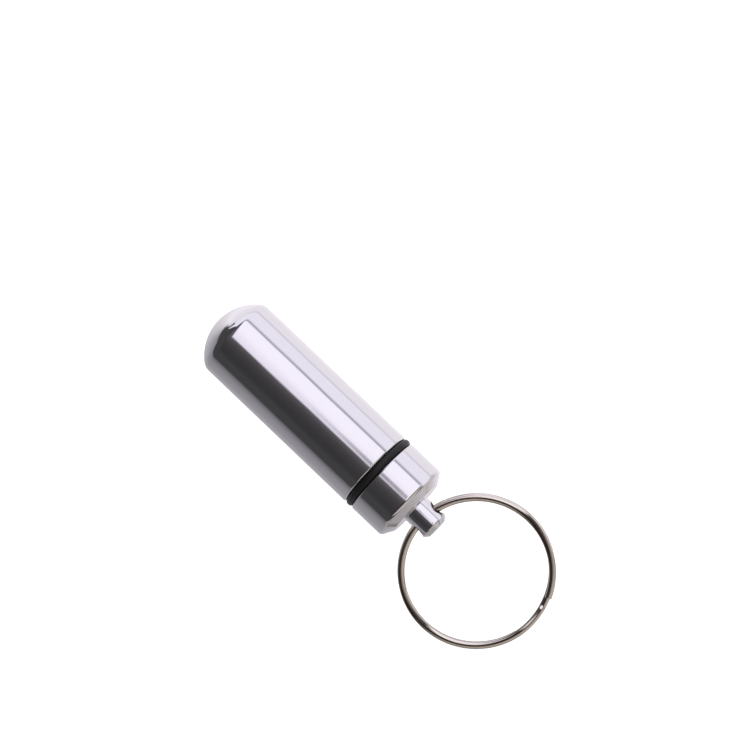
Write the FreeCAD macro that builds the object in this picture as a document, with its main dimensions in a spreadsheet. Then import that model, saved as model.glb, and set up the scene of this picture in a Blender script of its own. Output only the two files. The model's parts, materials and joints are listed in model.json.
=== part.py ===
import FreeCAD, Part
import math
import os
import Sketcher
from FreeCAD import Placement, Rotation, Vector

# Pill fob on a key ring: a domed aluminium tube, a screw cap with a cross-drilled stub, the rubber ring that
# seals them, and a two-turn split ring. Millimetres and degrees. The fob lies on its side along X, with the
# dome at -X, and the split ring slopes down from the stub to the surface that the fob lies on.

SIZES = [
    ("barrel_dia", 14.0, "outside of tube, seal and cap"),
    ("tube_length", 35.15, "dome tip to mouth"),
    ("dome_height", 3.79, "dome tip to where dome and barrel would meet without the shoulder"),
    ("shoulder_round", 2.12, "round shoulder between dome and barrel"),
    ("end_wall", 2.35, "metal between the drill point and the dome tip"),
    ("drill_angle", 118.0, "point angle of the drilled holes"),
    ("edge_break", 0.2, "bevel of the tube mouth and of the cap shoulder"),
    ("mouth_wall", 1.0, "tube wall outside the thread"),
    ("thread_pitch", 1.0, "one turn of the right-hand thread"),
    ("thread_reach", 5.8, "how far the spigot enters the tube"),
    ("thread_spare", 1.2, "female thread beyond the end of the spigot"),
    ("relief_width", 1.5, "groove where the female thread runs out"),
    ("neck_spare", 0.6, "plain neck inside the mouth"),
    ("spigot_wall", 1.4, "spigot wall under the thread"),
    ("hollow_depth", 8.6, "hollow of the cap from the spigot end"),
    ("seal_gap", 1.4, "tube mouth to cap shoulder when closed"),
    ("seal_play", 0.03, "room round the seal"),
    ("seal_corner", 0.603, "rounding of the seal's corners"),
    ("cap_length", 7.6, "shoulder to end face"),
    ("bevel_length", 1.14, "bevel of the cap end, along the axis"),
    ("bevel_depth", 1.95, "bevel of the cap end, across the axis"),
    ("stub_dia", 5.0, "stub that holds the ring"),
    ("stub_length", 4.82, "end face to stub tip"),
    ("tip_length", 0.65, "bevel of the stub tip, along the axis"),
    ("tip_depth", 0.75, "bevel of the stub tip, across the axis"),
    ("hole_dia", 2.7, "cross hole in the stub"),
    ("hole_offset", 2.58, "end face to the middle of the cross hole"),
    ("hole_round", 0.2, "rounding of the hole mouths"),
    ("hole_angle", 13.6, "turn of the cross hole from level"),
    ("ring_radius", 12.15, "middle of the ring's wire"),
    ("wire_width", 1.15, "wire across the ring's radius"),
    ("wire_thick", 0.6, "wire along the ring's axis"),
    ("turn_gap", 0.42, "between the two turns"),
    ("ring_slack", 0.18, "how far the wire lies from the hole's middle, towards the cap"),
    ("ring_angle", -5.5, "turn of the ring in its own plane, about the hole"),
    ("jog_angle", 9.8, "where the wire changes layer, from the ring's far side"),
    ("jog_span_angle", 36.5, "stretch of ring in which it changes layer"),
]

# Form of the thread, in shares of its pitch: a 60 degree V with flats.
FORM = {
    "depth_share": 0.6,
    "crest_share": 0.1,
    "play_share": 0.1,
    "flank_play_share": 0.12,
    "over_share": 0.05,
    "lead_in_share": 0.6,
    "run_out_share": 0.7,
}
FLANK_ANGLE = 30.0
FULL_ANGLE = 360.0
LEAD_BEVEL = 0.1
UNDERCUT = 0.03
NEAR = 0.01

doc = FreeCAD.newDocument("pill_fob")
sheet = doc.addObject("Spreadsheet::Sheet", "sizes")
for row, (alias, value, note) in enumerate(SIZES, 1):
    sheet.set(f"A{row}", note)
    sheet.set(f"B{row}", str(value))
    sheet.setAlias(f"B{row}", alias)
doc.recompute()


def size(alias):
    """The number in the sheet's cell of that name."""
    return float(sheet.get(alias))


# Sizes that several pieces share, as expressions on the sheet.
PITCH = "sizes.thread_pitch"
SLOPE = f"tan({FLANK_ANGLE} deg)"
BARREL_R = "sizes.barrel_dia / 2"
MALE_R = f"({BARREL_R} - sizes.mouth_wall)"
ROOT_R = f"({MALE_R} - {FORM['depth_share']} * {PITCH})"
NECK_R = f"({ROOT_R} - {UNDERCUT})"
BORE_R = f"({ROOT_R} + {FORM['play_share']} * {PITCH})"
FEMALE_R = f"({MALE_R} + {FORM['play_share']} * {PITCH})"
LEAD_R = f"({FEMALE_R} + {LEAD_BEVEL})"
MOUTH = "sizes.tube_length"
FEMALE_END = f"({MOUTH} - sizes.thread_reach - sizes.thread_spare)"
FEMALE_START = f"({FEMALE_END} - ({LEAD_R} - {BORE_R}) - sizes.relief_width / 2)"
SPIGOT_END = "(-sizes.seal_gap - sizes.thread_reach)"
HOLE_Z = "sizes.cap_length + sizes.hole_offset"


def new_body(name):
    """An empty body with its own label."""
    body = doc.addObject("PartDesign::Body", name)
    body.Label = name
    return body


def plane_sketch(body, name):
    """A sketch on the body's XZ plane: across is the radius, up is the turning axis."""
    plane = next(item for item in body.Origin.OriginFeatures if item.Role == "XZ_Plane")
    sketch = body.newObject("Sketcher::SketchObject", name)
    sketch.AttachmentSupport = [(plane, "")]
    sketch.MapMode = "FlatFace"
    return sketch


def bind(sketch, constraint, name, expression):
    """Adds a named constraint whose value follows the expression."""
    index = sketch.addConstraint(constraint)
    sketch.renameConstraint(index, name)
    sketch.setExpression(f"Constraints.{name}", expression)


def outline(sketch, corners):
    """Closed outline. Each corner is (across, up) or (across, up, radius): with a radius, the run to the
    next corner is an arc that bulges to the right of the way the outline goes."""
    points = []
    for corner in corners:
        points.append(Vector(*[sketch.evalExpression(text) for text in corner[:2]], 0))
    count = len(corners)
    for index, corner in enumerate(corners):
        start = points[index]
        end = points[(index + 1) % count]
        if len(corner) == 2:
            sketch.addGeometry(Part.LineSegment(start, end))
            continue
        radius = sketch.evalExpression(corner[2])
        chord = end - start
        sagitta = radius - math.sqrt(max(radius**2 - chord.Length**2 / 4, 0))
        right = Vector(chord.y, -chord.x, 0).normalize()
        arc = Part.Arc(start, (start + end) / 2 + right * sagitta, end)
        sketch.addGeometry(arc)
    # An arc that runs anticlockwise starts where the outline reaches it, as these all do.
    for index in range(count):
        sketch.addConstraint(Sketcher.Constraint("Coincident", index, 2, (index + 1) % count, 1))
    for index, corner in enumerate(corners):
        across, up = points[index].x, points[index].y
        bind(sketch, Sketcher.Constraint("DistanceX", -1, 1, index, 1, across), f"across{index}", corner[0])
        bind(sketch, Sketcher.Constraint("DistanceY", -1, 1, index, 1, up), f"up{index}", corner[1])
        if len(corner) == 3:
            radius = sketch.evalExpression(corner[2])
            bind(sketch, Sketcher.Constraint("Radius", index, radius), f"radius{index}", corner[2])


def turned(body, name, corners):
    """Solid of revolution about the body's Z axis."""
    sketch = plane_sketch(body, f"{name}_outline")
    outline(sketch, corners)
    solid = body.newObject("PartDesign::Revolution", name)
    solid.Profile = sketch
    solid.ReferenceAxis = (sketch, ["V_Axis"])
    solid.Angle = FULL_ANGLE
    doc.recompute()
    return solid


def cut_thread(body, name, start, height, mouth, root):
    """Helical groove about the body's Z axis. Mouth and root are (radius, width) of its section."""
    sketch = plane_sketch(body, f"{name}_section")
    low = [(radius, f"{start} - ({width}) / 2") for radius, width in (mouth, root)]
    high = [(radius, f"{start} + ({width}) / 2") for radius, width in (root, mouth)]
    outline(sketch, low + high)
    before = body.Shape.Volume
    groove = body.newObject("PartDesign::SubtractiveHelix", name)
    groove.Profile = sketch
    groove.ReferenceAxis = (sketch, ["V_Axis"])
    groove.Mode = "pitch-height-angle"
    groove.setExpression("Pitch", PITCH)
    groove.setExpression("Height", height)
    groove.Angle = 0
    groove.LeftHanded = False
    groove.Reversed = False
    doc.recompute()
    print(name, "cut", round(before - body.Shape.Volume, 3), "mm3")
    if body.Shape.Volume >= before:
        raise RuntimeError(f"{name} cuts nothing")


def round_edges(body, name, wanted, radius):
    """Fillet on the edges of the body's shape that the test picks."""
    edges = []
    for index, edge in enumerate(body.Shape.Edges, 1):
        if wanted(edge):
            edges.append(f"Edge{index}")
    base = body.Tip
    fillet = body.newObject("PartDesign::Fillet", name)
    fillet.Base = (base, edges)
    fillet.setExpression("Radius", radius)
    doc.recompute()
    print(name, "on", len(edges), "edges")
    if "Invalid" in fillet.State:
        raise RuntimeError(f"{name} rounds nothing")


def pill_tube():
    """Barrel with its domed end at the body's origin, drilled from the mouth and threaded there."""
    body = new_body("pill_tube")
    relief_rise = f"({LEAD_R} - {BORE_R})"
    relief_end = f"({FEMALE_END} - {relief_rise} - sizes.relief_width)"
    point = f"({BORE_R}) / tan(sizes.drill_angle / 2 * 1 deg)"
    dome_radius = f"(({BARREL_R})^2 + sizes.dome_height^2) / (2 * sizes.dome_height)"
    turned(body, "barrel", [
        ("0", "0", dome_radius),
        (BARREL_R, "sizes.dome_height"),
        (BARREL_R, f"{MOUTH} - sizes.edge_break"),
        (f"{BARREL_R} - sizes.edge_break", MOUTH),
        (LEAD_R, MOUTH),
        (BORE_R, f"{MOUTH} - {relief_rise}"),
        (BORE_R, FEMALE_END),
        (LEAD_R, f"{FEMALE_END} - {relief_rise}"),
        (LEAD_R, relief_end),
        (BORE_R, f"{relief_end} - {relief_rise}"),
        (BORE_R, f"sizes.end_wall + {point}"),
        ("0", "sizes.end_wall"),
    ])
    dome_end = size("dome_height")
    round_edges(
        body,
        "shoulder",
        lambda edge: abs(edge.BoundBox.Center.z - dome_end) < NEAR
        and abs(edge.BoundBox.XLength - size("barrel_dia")) < NEAR,
        "sizes.shoulder_round",
    )
    ridge = f"{FORM['crest_share'] + 2 * FORM['flank_play_share']} * {PITCH}"
    root_width = f"{ridge} - 2 * ({FEMALE_R} - {MALE_R}) * {SLOPE}"
    mouth_radius = f"{BORE_R} - {FORM['over_share']} * {PITCH}"
    mouth_width = f"{ridge} + 2 * ({MALE_R} - {mouth_radius}) * {SLOPE}"
    height = f"{MOUTH} - {FEMALE_START} + {PITCH}"
    mouth = (mouth_radius, mouth_width)
    cut_thread(body, "female_thread", FEMALE_START, height, mouth, (FEMALE_R, root_width))
    return body


def screw_cap():
    """Cap with its shoulder at the body's origin: spigot below, end face and stub above."""
    body = new_body("screw_cap")
    neck_end = "(-sizes.seal_gap - sizes.neck_spare)"
    hollow_r = f"({ROOT_R} - sizes.spigot_wall)"
    hollow_end = f"({SPIGOT_END} + sizes.hollow_depth)"
    tip = "(sizes.cap_length + sizes.stub_length)"
    turned(body, "cap", [
        ("0", f"{hollow_end} + {hollow_r} / tan(sizes.drill_angle / 2 * 1 deg)"),
        (hollow_r, hollow_end),
        (hollow_r, SPIGOT_END),
        (NECK_R, SPIGOT_END),
        (MALE_R, f"{SPIGOT_END} + ({MALE_R} - {NECK_R})"),
        (MALE_R, f"{neck_end} - ({MALE_R} - {NECK_R})"),
        (NECK_R, neck_end),
        (NECK_R, "0"),
        (f"{BARREL_R} - sizes.edge_break", "0"),
        (BARREL_R, "sizes.edge_break"),
        (BARREL_R, "sizes.cap_length - sizes.bevel_length"),
        (f"{BARREL_R} - sizes.bevel_depth", "sizes.cap_length"),
        ("sizes.stub_dia / 2", "sizes.cap_length"),
        ("sizes.stub_dia / 2", f"{tip} - sizes.tip_length"),
        ("sizes.stub_dia / 2 - sizes.tip_depth", tip),
        ("0", tip),
    ])
    sketch = plane_sketch(body, "hole_outline")
    centre = Vector(0, sketch.evalExpression(HOLE_Z), 0)
    circle = sketch.addGeometry(Part.Circle(centre, Vector(0, 0, 1), size("hole_dia") / 2))
    sketch.addConstraint(Sketcher.Constraint("PointOnObject", circle, 3, -2))
    bind(sketch, Sketcher.Constraint("DistanceY", -1, 1, circle, 3, centre.y), "offset", HOLE_Z)
    bind(sketch, Sketcher.Constraint("Diameter", circle, size("hole_dia")), "bore", "sizes.hole_dia")
    before = body.Shape.Volume
    hole = body.newObject("PartDesign::Pocket", "cross_hole")
    hole.Profile = sketch
    hole.Type = "ThroughAll"
    hole.Midplane = True
    doc.recompute()
    print("cross_hole cut", round(before - body.Shape.Volume, 3), "mm3")
    round_edges(
        body,
        "hole_mouths",
        lambda edge: abs(edge.BoundBox.Center.z - centre.y) < NEAR
        and abs(edge.BoundBox.XLength - size("hole_dia")) < NEAR,
        "sizes.hole_round",
    )
    ridge = f"{FORM['crest_share']} * {PITCH}"
    mouth_radius = f"{MALE_R} + {FORM['over_share']} * {PITCH}"
    mouth_width = f"{PITCH} - {ridge} - 2 * ({MALE_R} - ({mouth_radius})) * {SLOPE}"
    root_width = f"{PITCH} - {ridge} - 2 * ({MALE_R} - {ROOT_R}) * {SLOPE}"
    # In the closed cap the ridges lie in the middle of the tube's grooves, whatever the roll of the hole.
    turned_back = f"{PITCH} * (0.5 - sizes.hole_angle / {FULL_ANGLE})"
    phase = f"({FEMALE_START} - {MOUTH} - sizes.seal_gap - {turned_back})"
    lead_in = f"{FORM['lead_in_share']} * {PITCH}"
    start = f"({phase} + {PITCH} * floor(({SPIGOT_END} - {lead_in} - {phase}) / {PITCH}))"
    height = f"{neck_end} + {FORM['run_out_share']} * {PITCH} - {start}"
    cut_thread(body, "male_thread", start, height, (mouth_radius, mouth_width), (ROOT_R, root_width))
    return body


def seal_ring():
    """Rubber ring, squeezed between mouth and shoulder, with its middle at the body's origin."""
    body = new_body("seal_ring")
    inner = f"({NECK_R} + sizes.seal_play)"
    half = "(sizes.seal_gap / 2 - sizes.seal_play)"
    fullest = f"(min({half}; ({BARREL_R} - {inner}) / 2) - sizes.seal_play)"
    corner = f"min(sizes.seal_corner; {fullest})"
    turned(body, "seal", [
        (f"{inner} + {corner}", f"-{half}"),
        (f"{BARREL_R} - {corner}", f"-{half}", corner),
        (BARREL_R, f"-{half} + {corner}"),
        (BARREL_R, f"{half} - {corner}", corner),
        (f"{BARREL_R} - {corner}", half),
        (f"{inner} + {corner}", half, corner),
        (inner, f"{half} - {corner}"),
        (inner, f"-{half} + {corner}", corner),
    ])
    return body


def arc_between(start, tangent, end):
    """The arc that leaves start along tangent and reaches end."""
    chord = end - start
    along = Vector(chord).normalize()
    across = tangent - along * tangent.dot(along)
    turn = math.atan2(across.Length, tangent.dot(along))
    middle = (start + end) / 2 + across.normalize() * (chord.Length / 2 * math.tan(turn / 2))
    return Part.Arc(start, middle, end)


def biarc(start, start_tangent, end, end_tangent):
    """Two arcs that join two points and keep both tangents."""
    chord = end - start
    both = start_tangent + end_tangent
    bend = 2 * (1 - start_tangent.dot(end_tangent))
    along = chord.dot(both)
    reach = (math.sqrt(along**2 + bend * chord.dot(chord)) - along) / bend
    joint = (start + end + (start_tangent - end_tangent) * reach) / 2
    back = arc_between(end, end_tangent * -1, joint)
    return [arc_between(start, start_tangent, joint), Part.Arc(joint, back.value(middle_of(back)), end)]


def middle_of(arc):
    """The parameter half way along an arc."""
    return (arc.FirstParameter + arc.LastParameter) / 2


def ring_path():
    """Middle line of the wire about the ring's own centre: a turn on the upper layer, the jog, a turn on
    the lower layer."""
    radius = size("ring_radius")
    level = (size("wire_thick") + size("turn_gap")) / 2
    first = size("jog_angle") + size("jog_span_angle") / 2
    sweep = FULL_ANGLE - size("jog_span_angle")
    arc_count = 4

    def place(angle, height):
        turn = math.radians(angle)
        return Vector(radius * math.cos(turn), radius * math.sin(turn), height)

    def heading(angle):
        turn = math.radians(angle)
        return Vector(-math.sin(turn), math.cos(turn), 0)

    arcs = []
    for layer, height in enumerate((level, -level)):
        begin = first + FULL_ANGLE * layer
        step = sweep / arc_count
        for index in range(arc_count):
            angles = [begin + (index + share) * step for share in (0, 0.5, 1)]
            arcs.append(Part.Arc(*[place(angle, height) for angle in angles]))
        if layer == 0:
            leave = begin + sweep
            arrive = begin + FULL_ANGLE
            arcs += biarc(place(leave, height), heading(leave), place(arrive, -height), heading(arrive))
    return arcs


def wire_section(start, tangent):
    """Oval of the flattened wire, square to the path: flat above and below, round at its sides."""
    up = Vector(0, 0, 1)
    out = tangent.cross(up)
    thick = size("wire_thick") / 2
    flat = size("wire_width") / 2 - thick
    corners = [start + out * flat * side + up * thick * side * way for side in (1, -1) for way in (-1, 1)]
    tips = [start + out * (flat + thick) * side for side in (1, -1)]
    edges = [
        Part.Arc(corners[0], tips[0], corners[1]).toShape(),
        Part.LineSegment(corners[1], corners[2]).toShape(),
        Part.Arc(corners[2], tips[1], corners[3]).toShape(),
        Part.LineSegment(corners[3], corners[0]).toShape(),
    ]
    return Part.Wire(edges)


def least_gap(arcs):
    """Least distance between the two turns, measured on points round the wire."""
    thick = size("wire_thick") / 2
    flat = size("wire_width") / 2 - thick
    sample_count = 24
    point_count = 16
    rows = []
    travelled = 0.0
    for arc in arcs:
        length = arc.length()
        for index in range(sample_count):
            share = arc.FirstParameter + (arc.LastParameter - arc.FirstParameter) * index / sample_count
            middle = arc.value(share)
            tangent = Vector(*arc.tangent(share)[0])
            out = tangent.cross(Vector(0, 0, 1)).normalize()
            up = out.cross(tangent)
            skin = []
            for step in range(point_count):
                turn = 2 * math.pi * step / point_count
                side = math.copysign(flat, math.cos(turn)) if abs(math.cos(turn)) > NEAR else 0
                skin.append(middle + out * (side + thick * math.cos(turn)) + up * thick * math.sin(turn))
            rows.append((travelled + length * index / sample_count, middle, skin))
        travelled += length
    near = 2 * (size("wire_width") + size("turn_gap"))
    far_along = math.pi * size("ring_radius")
    least = travelled
    for index, (at, middle, skin) in enumerate(rows):
        for other_at, other_middle, other_skin in rows[index + 1:]:
            if other_at - at < far_along or (middle - other_middle).Length > near:
                continue
            for point in skin:
                least = min(least, min(point.distanceToPoint(other) for other in other_skin))
    return least


def split_ring():
    """Two-turn ring of one flattened wire, about its own centre."""
    arcs = ring_path()
    first = arcs[0]
    begin = first.FirstParameter
    section = wire_section(first.value(begin), Vector(*first.tangent(begin)[0]))
    path = Part.Wire([arc.toShape() for arc in arcs])
    ring = doc.addObject("Part::Feature", "split_ring")
    ring.Label = "split_ring"
    ring.Shape = path.makePipeShell([section], True, False)
    area = Part.Face(section).Area
    print("split_ring volume", round(ring.Shape.Volume, 3), "against", round(area * path.Length, 3))
    print("split_ring least gap between turns", round(least_gap(arcs), 3), "mm")
    return ring


def ring_pose():
    """Turn and centre of the ring, measured from the middle of the cross hole. The wire lies in the hole,
    pushed a little towards the cap, and the ring swings down until its low side rests on the surface under
    the barrel."""
    radius = size("ring_radius")
    outer = radius + size("wire_width") / 2
    layer = (size("wire_thick") + size("turn_gap")) / 2
    edge = size("wire_thick") / 2
    flat_reach = outer - edge
    sag = (size("stub_dia") / 2) ** 2 / (2 * radius)
    seat = Vector(radius - sag / 2 - size("ring_slack"), 0, 0)

    def turn_at(swing):
        roll = Rotation(Vector(1, 0, 0), size("hole_angle"))
        return roll * Rotation(Vector(0, 1, 0), swing) * Rotation(Vector(0, 0, 1), size("ring_angle"))

    def low_side(swing):
        turn = turn_at(swing)
        level = turn.multVec(Vector(0, 0, 1)).z
        slope = math.sqrt(1 - level**2)
        return size("barrel_dia") / 2 + turn.multVec(seat).z - flat_reach * slope - layer * level - edge

    halving_count = 60
    level_angle = 0.0
    steep_angle = 60.0
    for _ in range(halving_count):
        swing = (level_angle + steep_angle) / 2
        if low_side(swing) > 0:
            level_angle = swing
        else:
            steep_angle = swing
    turn = turn_at(swing)
    axis = turn.multVec(Vector(0, 0, 1))
    centre = turn.multVec(seat)
    reach = []
    for across in (axis.x, axis.y):
        reach.append(flat_reach * math.sqrt(1 - across**2) + layer * abs(across) + edge)
    print("ring swing", round(swing, 3), "degrees below the barrel's axis")
    return turn, centre, reach


tube = pill_tube()
cap = screw_cap()
seal = seal_ring()
ring = split_ring()

# The fob lies along X. Its origin is under the middle of its box: half way from the dome to the ring's far
# side, and half way across the ring.
ring_turn, ring_centre, ring_reach = ring_pose()
hole_along = size("tube_length") + size("seal_gap") + size("cap_length") + size("hole_offset")
start = Vector(-(hole_along + ring_centre.x + ring_reach[0]) / 2, -ring_centre.y, size("barrel_dia") / 2)
lying = Rotation(Vector(0, 1, 0), 90)
rolled = Rotation(Vector(1, 0, 0), size("hole_angle")) * lying
tube.Placement = Placement(start, lying)
seal.Placement = Placement(start + Vector(size("tube_length") + size("seal_gap") / 2, 0, 0), lying)
cap.Placement = Placement(start + Vector(size("tube_length") + size("seal_gap"), 0, 0), rolled)
ring.Placement = Placement(start + Vector(hole_along, 0, 0) + ring_centre, ring_turn)
doc.recompute()

for item in doc.Objects:
    if {"Invalid", "Error"} & set(item.State):
        raise RuntimeError(f"{item.Label} failed: {item.State}")
pieces = [tube, cap, seal, ring]
for piece in pieces:
    if piece.Shape.isNull() or not piece.Shape.isValid() or len(piece.Shape.Solids) != 1:
        raise RuntimeError(f"{piece.Label} has no single valid solid")

os.makedirs("parts", exist_ok=True)
for piece in pieces:
    piece.Shape.exportStep(f"parts/{piece.Label}.step")
    box = piece.Shape.BoundBox
    print(piece.Label, round(piece.Shape.Volume, 2), "mm3, box",
          [round(value, 3) for value in (box.XMin, box.YMin, box.ZMin, box.XMax, box.YMax, box.ZMax)])
print("hole at", [round(value, 4) for value in start + Vector(hole_along, 0, 0)])
print("ring centre at", [round(value, 4) for value in ring.Placement.Base])
print("ring axis", [round(value, 5) for value in ring_turn.multVec(Vector(0, 0, 1))])
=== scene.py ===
# %% [markdown]
# # A pill fob on its key ring
#
# The fob is a small screw-top tube for pills, turned from aluminium bar and polished, that hangs on a
# split ring. The solid model of its four pieces is already packed with its joints. In this lesson each
# piece gets a fine surface of its own in the same place, then a finish, and the fob is laid on a pale
# table in soft light.

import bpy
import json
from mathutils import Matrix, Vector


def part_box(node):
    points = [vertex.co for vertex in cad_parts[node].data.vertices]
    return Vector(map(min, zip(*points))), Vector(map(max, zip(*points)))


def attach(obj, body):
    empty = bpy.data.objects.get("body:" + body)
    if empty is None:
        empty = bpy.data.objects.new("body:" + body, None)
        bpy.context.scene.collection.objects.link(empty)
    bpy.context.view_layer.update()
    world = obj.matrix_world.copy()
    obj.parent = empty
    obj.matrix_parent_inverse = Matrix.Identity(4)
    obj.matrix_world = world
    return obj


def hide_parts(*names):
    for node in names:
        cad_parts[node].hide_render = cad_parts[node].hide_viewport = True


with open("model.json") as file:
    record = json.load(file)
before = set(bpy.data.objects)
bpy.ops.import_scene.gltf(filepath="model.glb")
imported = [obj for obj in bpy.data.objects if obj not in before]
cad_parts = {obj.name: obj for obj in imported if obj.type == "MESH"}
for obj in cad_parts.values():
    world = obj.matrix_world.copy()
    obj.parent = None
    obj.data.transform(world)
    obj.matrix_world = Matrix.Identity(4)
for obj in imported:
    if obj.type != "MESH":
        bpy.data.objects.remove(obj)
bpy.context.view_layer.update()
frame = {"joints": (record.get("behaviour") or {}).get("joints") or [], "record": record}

# %% [markdown]
# ## Sizes
#
# The surfaces must sit exactly where the solids are. Their main sizes could be typed in once more, but a
# copied number goes stale when the model changes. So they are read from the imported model: the ends of
# tube and cap from their boxes, the axis, the cap's shoulder and the cross hole from the joints. Only the
# small sizes inside those, such as bevels and wall thicknesses, are written here, in millimetres.

# %% Read the sizes
import math

import numpy as np

MM = 0.001
tube_low, tube_high = [np.array(corner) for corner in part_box("pill_tube")]
cap_low, cap_high = [np.array(corner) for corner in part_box("screw_cap")]
seal_low, seal_high = [np.array(corner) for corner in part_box("seal_ring")]
joints = {joint["name"]: joint for joint in frame["joints"]}
mounts = {mount["name"]: mount for mount in frame["record"]["mounts"]}

BARREL_R = mounts["barrel_grip"]["dims"]["r_mm"] * MM
AXIS_Y, AXIS_Z = joints["cap_turn"]["pos_m"][1:]
DOME_TIP, MOUTH = tube_low[0], tube_high[0]
SPIGOT_END, STUB_TIP = cap_low[0], cap_high[0]
SHOULDER = joints["cap_turn"]["pos_m"][0]
HOLE_X = joints["ring_swing"]["pos_m"][0]
HOLE_ANGLE = math.atan2(joints["ring_swing"]["axis"][2], joints["ring_swing"]["axis"][1])
print(f"barrel {2 * BARREL_R / MM:.2f} mm across, dome to stub tip {(STUB_TIP - DOME_TIP) / MM:.2f} mm")

# %% [markdown]
# ## Turned surfaces
#
# Tube and cap are lathe work: a profile goes round the axis. Blender's Screw modifier could turn a drawn
# profile, but arrays of points can carry a thread and a cross hole as well, so the surfaces are worked
# out with numpy. A lathe tool and a polishing cloth leave no edge quite sharp, and on bright metal the
# thin line of light along an edge is what makes it look real. So every corner of a profile gets a small
# tangent arc, with a guard row at each side that keeps the shading of the long runs flat.

# %% Profiles with rounded corners
EDGE_STEPS = 8
CORNER_ROWS = EDGE_STEPS + 3
GUARD = 0.03 * MM


def unit(vector):
    """A vector divided by its length."""
    return vector / np.linalg.norm(vector)


def rounded(corners):
    """Profile (x, r) through corners (x, r, rounding). Two runs that meet at a corner are joined by an arc
    tangent to both: its centre lies on their bisector, rounding / sin(half angle) from the corner, and it
    touches them rounding / tan(half angle) from the corner."""
    rows = [np.array(corners[0][:2])]
    for before, corner, after in zip(corners, corners[1:], corners[2:]):
        here, radius = np.array(corner[:2]), corner[2]
        back, on = unit(np.array(before[:2]) - here), unit(np.array(after[:2]) - here)
        half = math.acos(np.clip(back @ on, -1, 1)) / 2
        reach = radius / math.tan(half)
        inward, along = unit(back + on), unit(on - back)
        sweep = np.linspace(half - math.pi / 2, math.pi / 2 - half, EDGE_STEPS + 1)[:, None]
        centre = here + inward * radius / math.sin(half)
        rows.append(here + back * (reach + GUARD))
        rows.append(centre + radius * (along * np.sin(sweep) - inward * np.cos(sweep)))
        rows.append(here + on * (reach + GUARD))
    rows.append(np.array(corners[-1][:2]))
    return np.vstack(rows)


print(f"a rounded corner takes {CORNER_ROWS} rows of a profile")

# %% Surfaces of revolution


def around(x, r, angle):
    """Point at x along the barrel's axis, r from it, at an angle from +Y towards +Z:
    (x, axis y + r cos angle, axis z + r sin angle)."""
    x, r, angle = np.broadcast_arrays(x, r, angle)
    return np.stack([x, AXIS_Y + r * np.cos(angle), AXIS_Z + r * np.sin(angle)], axis=-1)


def columns(count):
    """Angles of evenly spaced columns, the first one in line with the cross hole."""
    return HOLE_ANGLE + 2 * math.pi * np.arange(count) / count


def turned(profile, count):
    """Surface of revolution of a profile: one row for each of its points, one column for each angle."""
    return around(profile[:, :1], profile[:, 1:], columns(count))


print(f"columns start {math.degrees(HOLE_ANGLE):.1f} degrees from +Y, in line with the cross hole")

# %% [markdown]
# ## From grids to a mesh
#
# Every surface below is a grid of points. A piece is one or more grids that share their border rows. They
# could be joined corner number by corner number, but it is simpler to merge points at the same place,
# which closes seams and poles, and then to turn the normals outwards. Each grid keeps the number of its
# finish, so that a bore can look machined while the outside is polished.

# %% Close a mesh
import bmesh
import bpy

MERGE = 0.0002 * MM


def grid_faces(rows, count, wrap_rows):
    """Corner numbers of a grid's quads, (i, j) (i, j + 1) (i + 1, j + 1) (i + 1, j). Columns go round."""
    i = np.arange(rows if wrap_rows else rows - 1)[:, None]
    j = np.arange(count)[None, :]
    next_i, next_j = (i + 1) % rows, (j + 1) % count
    corners = [i * count + j, i * count + next_j, next_i * count + next_j, next_i * count + j]
    return np.stack(corners, axis=-1).reshape(-1, 4)


def closed(mesh):
    """Merges double points and turns the normals outwards. Gives the triangles, open edges and volume."""
    work = bmesh.new()
    work.from_mesh(mesh)
    bmesh.ops.remove_doubles(work, verts=work.verts, dist=MERGE)
    bmesh.ops.recalc_face_normals(work, faces=work.faces)
    triangles = sum(len(face.verts) - 2 for face in work.faces)
    open_edges = sum(not edge.is_manifold for edge in work.edges)
    volume = work.calc_volume(signed=True)
    work.to_mesh(mesh)
    work.free()
    mesh.polygons.foreach_set("use_smooth", np.ones(len(mesh.polygons), bool))
    return triangles, open_edges, volume


print(f"points within {MERGE / MM:.4f} mm are merged")

# %% Put a piece in its place
POLISHED, MACHINED, LATHED, DRILLED = range(4)
PLAIN = 0


def piece(node, body, grids, wrap_rows=False):
    """Closed mesh of a node from (grid, finish number) pairs, put in the node's place on its body."""
    points, faces, finishes = [], [], []
    first = 0
    for grid, finish_number in grids:
        rows, count = grid.shape[:2]
        points.append(grid.reshape(-1, 3))
        faces.append(grid_faces(rows, count, wrap_rows) + first)
        finishes.append(np.full(len(faces[-1]), finish_number, np.int32))
        first += rows * count
    mesh = bpy.data.meshes.new(f"{node}_surface")
    mesh.from_pydata(np.vstack(points).tolist(), [], np.vstack(faces).tolist())
    mesh.polygons.foreach_set("material_index", np.concatenate(finishes))
    triangles, open_edges, volume = closed(mesh)
    shown = bpy.data.objects.new(f"{node}_surface", mesh)
    bpy.context.scene.collection.objects.link(shown)
    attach(shown, body)
    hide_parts(node)
    print(f"{node}: {triangles} triangles, {open_edges} open edges, {volume / MM**3:.1f} mm3")
    return shown


print("finishes of an aluminium piece are numbered", POLISHED, MACHINED, LATHED, DRILLED)

# %% [markdown]
# ## The thread
#
# A right-hand thread of 1 mm pitch holds the cap, cut as a V of 60 degrees with flats. It could be a bump
# in the finish, but it shows as soon as the cap is unscrewed, so it is real shape. One formula serves
# both sides: how far a point lies, along the axis, from the middle of the nearest groove of the tube. At
# rest the ridges of the cap lie in the middle of those grooves, and as the cap turns it climbs one pitch
# for each turn, so they stay there.

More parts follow.
